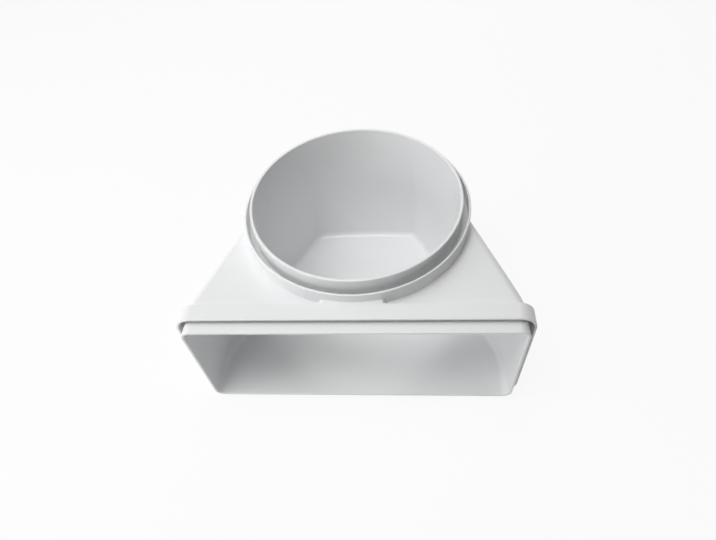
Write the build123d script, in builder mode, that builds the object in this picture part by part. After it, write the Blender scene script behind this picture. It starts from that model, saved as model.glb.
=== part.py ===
"""Rectangular to round duct elbow, moulded in one piece.

Millimetres, +Z up. The flat mouth faces -Y and the round mouth faces +Z. The origin is at the
middle of the underside of the part's box.
"""

import os
from math import acos, atan2, cos, degrees, hypot, radians, sin, tan

from build123d import *

# Ducts that the spigots slide into, measured inside, and the play on each side
flat_duct_width = 220.0
flat_duct_height = 90.0
flat_duct_play = 0.5
round_duct_diameter = 150.0
round_duct_play = 0.25

# Walls and roundings
wall = 2.0
corner_radius = 7.0
rim_round = 0.6

# Spigots, and collars around them that are open at the mouth and closed by a web at the back
spigot_length = 19.0
flat_collar_depth = 12.0
round_collar_depth = 11.5
collar_wall = 1.6
collar_web = 1.8
collar_round = 0.5
flat_collar_gap = 3.0
round_collar_gap = 4.0

# Narrow space between the two collars, filled where they come closest by a bridge with sloping ends
collar_spacing = 0.8
bridge_width = 47.0
bridge_slope = 60.0
bridge_round = 2.0
bridge_fillet = 0.6

# Body: straight sides behind the flat collar, then a soft bend into walls that taper to the back
# and lean outwards from a flat-backed foot to the round spigot
straight_at_roof = 4.5
straight_at_foot = 14.0
bend_radius = 34.0
foot_setback = 18.0
foot_width = 78.5
foot_corner_radius = 10.0
crown_angle = 2.0
neck_flare = 1.0

# Floor that rises a little behind a soft fold
fold_before_back = 28.0
fold_radius = 30.0
ramp_angle = 5.0

# How far cutting bodies run past the faces that they open
overrun = 5.0

# Places worked out from the sizes
flat_width = flat_duct_width - 2 * flat_duct_play
flat_height = flat_duct_height - 2 * flat_duct_play
round_radius = round_duct_diameter / 2 - round_duct_play
flat_collar_offset = flat_collar_gap + collar_wall
round_collar_radius = round_radius + round_collar_gap + collar_wall
part_depth = spigot_length + collar_spacing + 2 * round_collar_radius
front_y = -part_depth / 2
collar_back_y = front_y + spigot_length
collar_front_y = collar_back_y - flat_collar_depth
axis_y = collar_back_y + collar_spacing + round_collar_radius
roof_bend_y = collar_back_y + straight_at_roof
foot_bend_y = collar_back_y + straight_at_foot
foot_back_y = axis_y + round_radius - foot_setback
fold_y = foot_back_y - fold_before_back
floor_z = flat_collar_offset
mid_z = floor_z + flat_height / 2
top_z = floor_z + flat_height
flat_collar_top_z = top_z + flat_collar_offset
round_collar_top_z = top_z + round_collar_depth
rim_z = top_z + spigot_length


def plan_outline(height, inset, front, bend_y, corner_x, corner_y, corner_r):
    """Plan face: front, straight sides, bends, tapers, rounded back corners and a crowned back."""
    half_width = flat_width / 2 - inset
    radius = corner_r - inset
    reach_x = half_width - corner_x
    reach_y = bend_y - corner_y
    turn = degrees(atan2(reach_y, reach_x) + acos(radius / hypot(reach_x, reach_y)))
    bend = bend_radius - inset
    bend_x = half_width - bend
    bend_start = bend_y - bend * tan(radians(turn / 2))
    taper_x = bend_x + bend * cos(radians(turn))
    taper_y = bend_start + bend * sin(radians(turn))
    tangent_x = corner_x + radius * cos(radians(turn))
    tangent_y = corner_y + radius * sin(radians(turn))
    crown_start = 90 - crown_angle
    crown_y = corner_y - corner_x / tan(radians(crown_angle))
    crown_radius = radius + corner_x / sin(radians(crown_angle))
    with BuildSketch(Plane.XY.offset(height)) as plan:
        with BuildLine():
            Line((-half_width, front), (half_width, front))
            Line((half_width, front), (half_width, bend_start))
            CenterArc((bend_x, bend_start), bend, 0, turn)
            Line((taper_x, taper_y), (tangent_x, tangent_y))
            CenterArc((corner_x, corner_y), radius, turn, crown_start - turn)
            CenterArc((0, crown_y), crown_radius, crown_start, 2 * crown_angle)
            CenterArc((-corner_x, corner_y), radius, 90 + crown_angle, crown_start - turn)
            Line((-tangent_x, tangent_y), (-taper_x, taper_y))
            CenterArc((-bend_x, bend_start), bend, 180 - turn, turn)
            Line((-half_width, bend_start), (-half_width, front))
        make_face()
    return plan.sketch.face()


def elbow_form(inset, front, rim):
    """Body and round neck as one solid: the outside at no inset, the hollow at the wall's inset."""
    foot_corner_y = foot_back_y - foot_corner_radius
    radius = round_radius - inset
    rounding = corner_radius - inset
    roof_z = top_z - inset
    neck_z = roof_z - 2 * rounding

    # Walls, ruled from the foot's plan to the round plan
    foot_plan = plan_outline(
        floor_z, inset, front, foot_bend_y, foot_width / 2, foot_corner_y, foot_corner_radius
    )
    round_plan = plan_outline(top_z, inset, front, roof_bend_y, 0, axis_y, round_radius)
    with BuildPart() as walls:
        loft([foot_plan, round_plan], ruled=True)

    # Side profile: floor, soft fold, ramp and roof
    with BuildPart() as profile:
        with BuildSketch(Plane.YZ):
            with BuildLine():
                floor = Line((front, floor_z + inset), (fold_y, floor_z + inset))
                fold = JernArc(floor @ 1, floor % 1, fold_radius - inset, ramp_angle)
                ramp = PolarLine(fold @ 1, part_depth, direction=fold % 1)
                end_y = (ramp @ 1).X
                Polyline(ramp @ 1, (end_y, roof_z), (front, roof_z), floor @ 0)
            make_face()
        extrude(amount=flat_width, both=True)

    # Space of the neck's root, a little wider at its lower end
    with BuildPart() as neck_space:
        with Locations((0, axis_y, neck_z)):
            Cone(
                radius + neck_flare,
                radius,
                top_z - neck_z,
                align=(Align.CENTER, Align.CENTER, Align.MIN),
            )

    # Neck's root, which runs up out of the unrounded walls at the back
    with BuildPart() as neck_root:
        add(walls.part)
        add(neck_space.part, mode=Mode.INTERSECT)

    # Body with its long edges rounded, the neck's root set into it and the round spigot on top
    with BuildPart() as form:
        add(walls.part)
        add(profile.part, mode=Mode.INTERSECT)
        lengthwise = form.edges().filter_by(Axis.X, reverse=True)
        roof_edges = lengthwise.group_by(Axis.Z)[-1]
        foot_edges = lengthwise.filter_by(lambda edge: edge.bounding_box().max.Z < mid_z)
        fillet(roof_edges + foot_edges, rounding)
        add(neck_space.part, mode=Mode.SUBTRACT)
        add(neck_root.part)
        with BuildSketch(Plane.XY.offset(top_z)):
            with Locations((0, axis_y)):
                Circle(radius)
        extrude(amount=rim - top_z)
    return form.part


# Flat collar, a rounded cup open to the front
with BuildPart() as flat_collar:
    with BuildSketch(Plane.XZ.offset(-collar_back_y)):
        with Locations((0, mid_z)):
            RectangleRounded(
                flat_width + 2 * flat_collar_offset,
                flat_height + 2 * flat_collar_offset,
                corner_radius + flat_collar_offset,
            )
    extrude(amount=flat_collar_depth)
    collar_back = flat_collar.edges().filter_by_position(Axis.Y, collar_back_y, collar_back_y)
    fillet(collar_back, collar_round)
    with BuildSketch(Plane.XZ.offset(-collar_back_y + collar_web)):
        with Locations((0, mid_z)):
            RectangleRounded(
                flat_width + 2 * flat_collar_gap,
                flat_height + 2 * flat_collar_gap,
                corner_radius + flat_collar_gap,
            )
    extrude(amount=flat_collar_depth - collar_web, mode=Mode.SUBTRACT)

# Round collar, a round cup open to the top
with BuildPart() as round_collar:
    with BuildSketch(Plane.XY.offset(top_z)):
        with Locations((0, axis_y)):
            Circle(round_collar_radius)
    extrude(amount=round_collar_depth)
    with BuildSketch(Plane.XY.offset(top_z + collar_web)):
        with Locations((0, axis_y)):
            Circle(round_radius + round_collar_gap)
    extrude(amount=round_collar_depth - collar_web, mode=Mode.SUBTRACT)

# Bridge between the collars where they come closest, from the flat one's web into the round one's wall
with BuildPart() as bridge:
    with BuildSketch(Plane.XZ.offset(collar_web / 2 - collar_back_y)) as bridge_front:
        with Locations((0, top_z - wall)):
            Trapezoid(
                bridge_width,
                wall + flat_collar_offset,
                bridge_slope,
                align=(Align.CENTER, Align.MIN),
            )
        fillet(bridge_front.vertices().group_by(Axis.Y)[-1], bridge_round)
    extrude(amount=-bridge_width / 2)
    with BuildSketch(Plane.XY.offset(top_z - wall)):
        with Locations((0, axis_y)):
            Circle(round_collar_radius - collar_wall / 2)
    extrude(amount=round_collar_depth, mode=Mode.SUBTRACT)

outside = elbow_form(0, front_y, rim_z)
hollow = elbow_form(wall, front_y - overrun, rim_z + overrun)

with BuildPart() as duct_elbow:
    add(outside)
    add(flat_collar.part)
    add(round_collar.part)
    add(bridge.part)
    add(hollow, mode=Mode.SUBTRACT)

    # Bridge's top and sloping ends, swept up into the round collar's wall
    bridge_edges = duct_elbow.edges().filter_by(
        lambda edge: edge.bounding_box().min.Z > top_z - wall / 2
        and top_z + bridge_fillet < (edge @ 0.5).Z < flat_collar_top_z + wall / 2
        and abs(hypot((edge @ 0.5).X, (edge @ 0.5).Y - axis_y) - round_collar_radius) < wall / 10
    )
    fillet(bridge_edges, bridge_fillet)

    # Soft edges on both spigots and both collars
    rims = duct_elbow.edges().filter_by_position(Axis.Y, front_y, front_y)
    rims += duct_elbow.edges().filter_by_position(Axis.Y, collar_front_y, collar_front_y)
    rims += duct_elbow.edges().filter_by_position(Axis.Z, rim_z, rim_z)
    rims += duct_elbow.edges().filter_by_position(Axis.Z, round_collar_top_z, round_collar_top_z)
    fillet(rims, rim_round)

os.makedirs("parts", exist_ok=True)
duct_elbow.part.label = "duct_elbow"
export_step(duct_elbow.part, "parts/duct_elbow.step")
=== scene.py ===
"""Rectangular to round duct elbow in glossy white PVC: its finish, the light and the camera.

Metres, +Z up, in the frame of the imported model. The flat mouth faces -Y and the round mouth faces +Z.
"""

from math import cos, radians, sin

import bmesh
import bpy
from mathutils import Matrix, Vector


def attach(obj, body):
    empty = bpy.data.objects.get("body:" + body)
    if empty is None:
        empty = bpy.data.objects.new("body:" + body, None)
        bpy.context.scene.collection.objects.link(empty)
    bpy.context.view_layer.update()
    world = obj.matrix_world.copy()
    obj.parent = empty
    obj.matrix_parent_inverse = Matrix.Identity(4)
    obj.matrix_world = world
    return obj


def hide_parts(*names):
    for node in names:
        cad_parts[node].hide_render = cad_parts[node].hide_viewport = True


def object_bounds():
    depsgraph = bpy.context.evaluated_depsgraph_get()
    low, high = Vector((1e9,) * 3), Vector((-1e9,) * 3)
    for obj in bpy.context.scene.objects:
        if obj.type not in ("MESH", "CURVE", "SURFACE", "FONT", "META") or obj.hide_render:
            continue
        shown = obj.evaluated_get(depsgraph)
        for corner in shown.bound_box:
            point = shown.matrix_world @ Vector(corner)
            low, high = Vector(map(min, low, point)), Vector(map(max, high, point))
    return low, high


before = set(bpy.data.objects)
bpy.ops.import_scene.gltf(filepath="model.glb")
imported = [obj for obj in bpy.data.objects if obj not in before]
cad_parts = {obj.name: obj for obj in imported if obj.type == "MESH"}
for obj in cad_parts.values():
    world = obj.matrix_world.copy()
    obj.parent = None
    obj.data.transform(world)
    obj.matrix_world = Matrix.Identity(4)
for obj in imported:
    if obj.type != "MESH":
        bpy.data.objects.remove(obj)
cad_low, cad_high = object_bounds()

# Camera: where the photograph was taken from, found from the elbow's edges in it
camera_place = (0.03145, -0.25992, 0.37516)
camera_turn = (radians(37.889), radians(4.101), radians(2.303))
camera_lens = 26.889
camera_sensor = 36.0

# White PVC: its colour drifts between two tones in wide clouds
pvc_colour_low = (0.815, 0.82, 0.825, 1.0)
pvc_colour_high = (0.835, 0.84, 0.845, 1.0)
cloud_scale = 9.0
cloud_detail = 2.0
cloud_low = 0.2
cloud_high = 0.8
pvc_ior = 1.53

# Its polish, from the glossiest patches to the dullest, and the faint ripple left by the mould
pvc_roughness_low = 0.285
pvc_roughness_high = 0.325
polish_scale = 16.0
polish_detail = 1.0
ripple_scale = 30.0
ripple_detail = 0.0
ripple_strength = 0.15
ripple_height = 0.0002

# Moulding: points closer than this are one point, and edges sharper than this stay sharp
merge_distance = 0.000005
sharp_angle = radians(32)

# Light: soft square panels at one distance from the elbow, most of them above it and to its left,
# and a low one behind it for the sides that the photograph doesn't show.
# Each has its turn from +X and its height above the floor in degrees, then its side and its power.
panels = {
    "low_left": (195, 10, 0.7, 2.8),
    "low_front_left": (235, 12, 0.4, 1.9),
    "mid_left": (190, 27, 0.7, 1.6),
    "high_left": (180, 52, 0.7, 1.3),
    "steep_left": (215, 70, 0.5, 2.9),
    "steep_front": (240, 75, 0.5, 2.2),
    "steep_back": (90, 80, 0.3, 1.3),
    "high_back": (100, 54, 0.7, 1.0),
    "low_back": (78, 14, 0.8, 2.2),
}
panel_distance = 1.1
panel_target = Vector((0.0, 0.0, 0.06))

# White room: the even light that it gives, and how white it looks
room_colour = (1.0, 1.0, 1.0, 1.0)
room_level = 0.08
white_level = 1.0

# Floor: half its side, its colour, and how much of what shows of it is plain white
floor_half = 6.0
floor_colour = (0.86, 0.86, 0.86, 1.0)
floor_glow_share = 0.9


def new_material(name):
    """Material with an empty node tree, and that tree."""
    material = bpy.data.materials.new(name)
    material.use_nodes = True
    tree = material.node_tree
    tree.nodes.clear()
    return material, tree


def add_node(tree, kind, **settings):
    """Node of a kind in a tree, with its own settings."""
    node = tree.nodes.new(kind)
    for name, value in settings.items():
        setattr(node, name, value)
    return node


def white_pvc():
    """Glossy white PVC: cloudy tone, uneven gloss and a faint moulded ripple."""
    material, tree = new_material("white_pvc")
    link = tree.links.new
    place = add_node(tree, "ShaderNodeTexCoord")
    shader = add_node(tree, "ShaderNodeBsdfPrincipled")
    shader.inputs["IOR"].default_value = pvc_ior
    output = add_node(tree, "ShaderNodeOutputMaterial")

    clouds = add_node(tree, "ShaderNodeTexNoise")
    clouds.inputs["Scale"].default_value = cloud_scale
    clouds.inputs["Detail"].default_value = cloud_detail
    tone = add_node(tree, "ShaderNodeValToRGB")
    low_stop, high_stop = tone.color_ramp.elements
    low_stop.position = cloud_low
    low_stop.color = pvc_colour_low
    high_stop.position = cloud_high
    high_stop.color = pvc_colour_high
    link(place.outputs["Object"], clouds.inputs["Vector"])
    link(clouds.outputs["Fac"], tone.inputs["Fac"])
    link(tone.outputs["Color"], shader.inputs["Base Color"])

    polish = add_node(tree, "ShaderNodeTexNoise")
    polish.inputs["Scale"].default_value = polish_scale
    polish.inputs["Detail"].default_value = polish_detail
    gloss = add_node(tree, "ShaderNodeMapRange")
    gloss.inputs["To Min"].default_value = pvc_roughness_low
    gloss.inputs["To Max"].default_value = pvc_roughness_high
    link(place.outputs["Object"], polish.inputs["Vector"])
    link(polish.outputs["Fac"], gloss.inputs["Value"])
    link(gloss.outputs["Result"], shader.inputs["Roughness"])

    flow = add_node(tree, "ShaderNodeTexNoise")
    flow.inputs["Scale"].default_value = ripple_scale
    flow.inputs["Detail"].default_value = ripple_detail
    ripple = add_node(tree, "ShaderNodeBump")
    ripple.inputs["Strength"].default_value = ripple_strength
    ripple.inputs["Distance"].default_value = ripple_height
    link(place.outputs["Object"], flow.inputs["Vector"])
    link(flow.outputs["Fac"], ripple.inputs["Height"])
    link(ripple.outputs["Normal"], shader.inputs["Normal"])

    link(shader.outputs["BSDF"], output.inputs["Surface"])
    return material


def seen_directly(tree):
    """One for what the camera sees directly, in a gloss or through a clear thing, and zero otherwise."""
    path = add_node(tree, "ShaderNodeLightPath")
    either = add_node(tree, "ShaderNodeMath", operation="MAXIMUM")
    every = add_node(tree, "ShaderNodeMath", operation="MAXIMUM")
    tree.links.new(path.outputs["Is Camera Ray"], either.inputs[0])
    tree.links.new(path.outputs["Is Glossy Ray"], either.inputs[1])
    tree.links.new(either.outputs["Value"], every.inputs[0])
    tree.links.new(path.outputs["Is Transmission Ray"], every.inputs[1])
    return every.outputs["Value"]


def pale_floor():
    """Pale floor that shows nearly white and keeps a soft shadow."""
    material, tree = new_material("pale_floor")
    link = tree.links.new
    matt = add_node(tree, "ShaderNodeBsdfDiffuse")
    matt.inputs["Color"].default_value = floor_colour
    glow = add_node(tree, "ShaderNodeEmission")
    glow.inputs["Strength"].default_value = white_level
    share = add_node(tree, "ShaderNodeMath", operation="MULTIPLY")
    share.inputs[1].default_value = floor_glow_share
    mix = add_node(tree, "ShaderNodeMixShader")
    output = add_node(tree, "ShaderNodeOutputMaterial")
    link(seen_directly(tree), share.inputs[0])
    link(share.outputs["Value"], mix.inputs["Fac"])
    link(matt.outputs["BSDF"], mix.inputs[1])
    link(glow.outputs["Emission"], mix.inputs[2])
    link(mix.outputs["Shader"], output.inputs["Surface"])
    return material


def white_room():
    """World that lights evenly and shows white behind everything."""
    world = bpy.data.worlds.new("white_room")
    world.use_nodes = True
    tree = world.node_tree
    tree.nodes.clear()
    link = tree.links.new
    level = add_node(tree, "ShaderNodeMapRange")
    level.inputs["To Min"].default_value = room_level
    level.inputs["To Max"].default_value = white_level
    sky = add_node(tree, "ShaderNodeBackground")
    sky.inputs["Color"].default_value = room_colour
    output = add_node(tree, "ShaderNodeOutputWorld")
    link(seen_directly(tree), level.inputs["Value"])
    link(level.outputs["Result"], sky.inputs["Strength"])
    link(sky.outputs["Background"], output.inputs["Surface"])
    return world


def add_floor():
    """Flat floor at the elbow's underside."""
    mesh = bpy.data.meshes.new("floor")
    corners = [(-1, -1), (1, -1), (1, 1), (-1, 1)]
    points = [(x * floor_half, y * floor_half, cad_low.z) for x, y in corners]
    mesh.from_pydata(points, [], [(0, 1, 2, 3)])
    mesh.materials.append(pale_floor())
    floor = bpy.data.objects.new("floor", mesh)
    bpy.context.scene.collection.objects.link(floor)


def add_panel(name, turn, height, side, power):
    """Soft square light panel aimed at the elbow."""
    level = cos(radians(height))
    towards = Vector((level * cos(radians(turn)), level * sin(radians(turn)), sin(radians(height))))
    light = bpy.data.lights.new(name, "AREA")
    light.shape = "SQUARE"
    light.size = side
    light.energy = power
    panel = bpy.data.objects.new(name, light)
    panel.location = panel_target + panel_distance * towards
    panel.rotation_euler = (-towards).to_track_quat("-Z", "Y").to_euler()
    bpy.context.scene.collection.objects.link(panel)


def add_camera():
    """Camera at the photograph's viewpoint."""
    lens = bpy.data.cameras.new("camera")
    lens.lens = camera_lens
    lens.sensor_width = camera_sensor
    camera = bpy.data.objects.new("camera", lens)
    camera.location = camera_place
    camera.rotation_euler = camera_turn
    bpy.context.scene.collection.objects.link(camera)
    bpy.context.scene.camera = camera


def smooth_moulding(packed):
    """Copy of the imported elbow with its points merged, shaded smooth except across its real corners."""
    source = packed.data
    mesh = bpy.data.meshes.new("elbow_moulding")
    points = [packed.matrix_world @ vertex.co for vertex in source.vertices]
    mesh.from_pydata(points, [], [list(face.vertices) for face in source.polygons])
    shape = bmesh.new()
    shape.from_mesh(mesh)
    bmesh.ops.remove_doubles(shape, verts=shape.verts, dist=merge_distance)
    for face in shape.faces:
        face.smooth = True
    for edge in shape.edges:
        edge.smooth = len(edge.link_faces) == 2 and edge.calc_face_angle() < sharp_angle
    shape.to_mesh(mesh)
    shape.free()
    moulding = bpy.data.objects.new("elbow_moulding", mesh)
    bpy.context.scene.collection.objects.link(moulding)
    even = moulding.modifiers.new("even_shading", "WEIGHTED_NORMAL")
    even.keep_sharp = True
    return moulding


scene = bpy.context.scene
scene.view_settings.view_transform = "Standard"
scene.world = white_room()
add_floor()
for panel_name, panel_values in panels.items():
    add_panel(panel_name, *panel_values)
add_camera()

elbow = smooth_moulding(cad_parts["duct_elbow"])
elbow.data.materials.append(white_pvc())
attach(elbow, "root")
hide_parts("duct_elbow")
